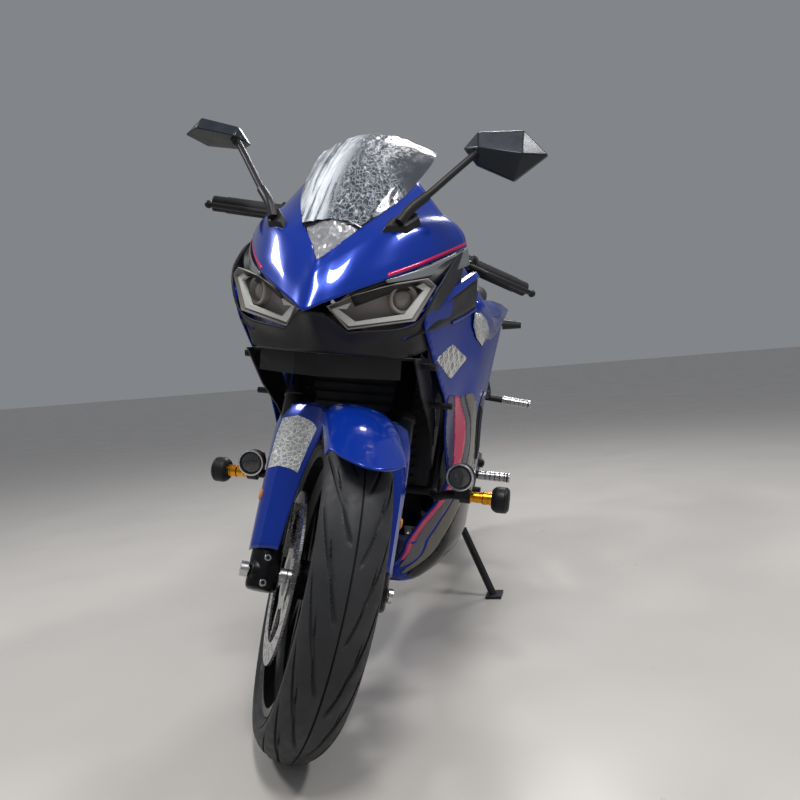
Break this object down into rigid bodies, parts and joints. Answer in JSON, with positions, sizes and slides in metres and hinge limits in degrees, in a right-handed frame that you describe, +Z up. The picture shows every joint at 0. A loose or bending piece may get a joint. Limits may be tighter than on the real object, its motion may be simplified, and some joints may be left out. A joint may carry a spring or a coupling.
{
  "type": "faired sport bike motorcycle",
  "caption": "Two-wheeled sport motorcycle with a full fairing, low handlebars and twin slanted headlights, parked leaning on its side stand.",
  "frame": {"origin": "middle of the floor under the whole parked bike", "axes": "+X forward, +Y to the rider's left, +Z up from the road"},
  "size_m": [2.0632, 0.7334, 1.1278],
  "materials": {
    "alloy": "cast aluminium",
    "black_alloy": "gloss black paint on cast aluminium",
    "black_plastic": "matt black moulded plastic",
    "blue_paint": "deep blue gloss paint with stripes",
    "chain_steel": "oiled chain steel",
    "clear_lens": "clear faceted lens",
    "engine_grey": "dark grey cast and coated aluminium",
    "frame_black": "satin black paint",
    "lamp_lens": "clear lens over a smoky lamp body",
    "red_lens": "clear red lens",
    "rubber": "black rubber",
    "seat_cover": "black grained seat cover over foam",
    "smoked_screen": "dark smoked clear plastic under a wrinkled protective film",
    "steel": "brushed steel",
    "tyre_rubber": "black road tyre"
  },
  "bodies": {
    "frame": {"frame": "frame_black", "engine": "engine_grey", "exhaust_pipe": "steel", "silencer": "steel", "radiator": "engine_grey", "swing_arm": "frame_black", "shock": "black_alloy", "chain": "chain_steel", "rear_caliper": "alloy", "fuel_tank": "blue_paint", "fuel_cap": "alloy", "rider_seat": "seat_cover", "passenger_seat": "seat_cover", "tail_cowl": "blue_paint", "tail_light": "red_lens", "rear_mudguard": "black_plastic", "nose_cowl": "blue_paint", "windscreen": "smoked_screen", "belly_pan": "blue_paint", "inner_cowl": "black_plastic", "instrument_panel": "black_plastic", "crash_bar": "frame_black", "headlight_left": "lamp_lens", "side_fairing_left": "blue_paint", "mirror_left": "black_plastic", "indicator_left": "clear_lens", "footrest_left": "frame_black", "passenger_peg_left": "frame_black", "headlight_right": "lamp_lens", "side_fairing_right": "blue_paint", "mirror_right": "black_plastic", "indicator_right": "clear_lens", "footrest_right": "frame_black", "passenger_peg_right": "frame_black"},
    "steering": {"fork_yokes": "frame_black", "fork_leg_left": "black_alloy", "fork_leg_right": "black_alloy", "front_axle": "alloy", "handlebar_left": "frame_black", "handlebar_right": "frame_black", "grip_left": "rubber", "grip_right": "rubber", "front_mudguard": "blue_paint", "front_caliper": "alloy"},
    "front_wheel": {"front_tyre": "tyre_rubber", "front_rim": "black_alloy", "front_disc": "steel"},
    "rear_wheel": {"rear_tyre": "tyre_rubber", "rear_rim": "black_alloy", "rear_disc": "steel", "rear_sprocket": "alloy"},
    "side_stand": {"side_stand": "frame_black"}
  },
  "joints": [
    {"name": "steering_turn", "type": "hinge", "parent": "frame", "child": "steering", "pos_m": [0.5184, -0.01811, 0.7195], "axis": [-0.4186, 0.1418, 0.8971], "range_deg": [-50, 0]},
    {"name": "front_wheel_spin", "type": "hinge", "parent": "steering", "child": "front_wheel", "pos_m": [0.75648, -0.07229, 0.28177], "axis": [-0.3845, 0.8672, -0.3164], "continuous": true},
    {"name": "rear_wheel_spin", "type": "hinge", "parent": "frame", "child": "rear_wheel", "pos_m": [-0.64042, -0.0834, 0.31252], "axis": [-0.0007, 0.9877, -0.1564], "continuous": true},
    {"name": "side_stand_fold", "type": "hinge", "parent": "frame", "child": "side_stand", "pos_m": [-0.14891, 0.03352, 0.2047], "axis": [0.0011, 0.9681, 0.2504], "range_deg": [0, 84]}
  ]
}
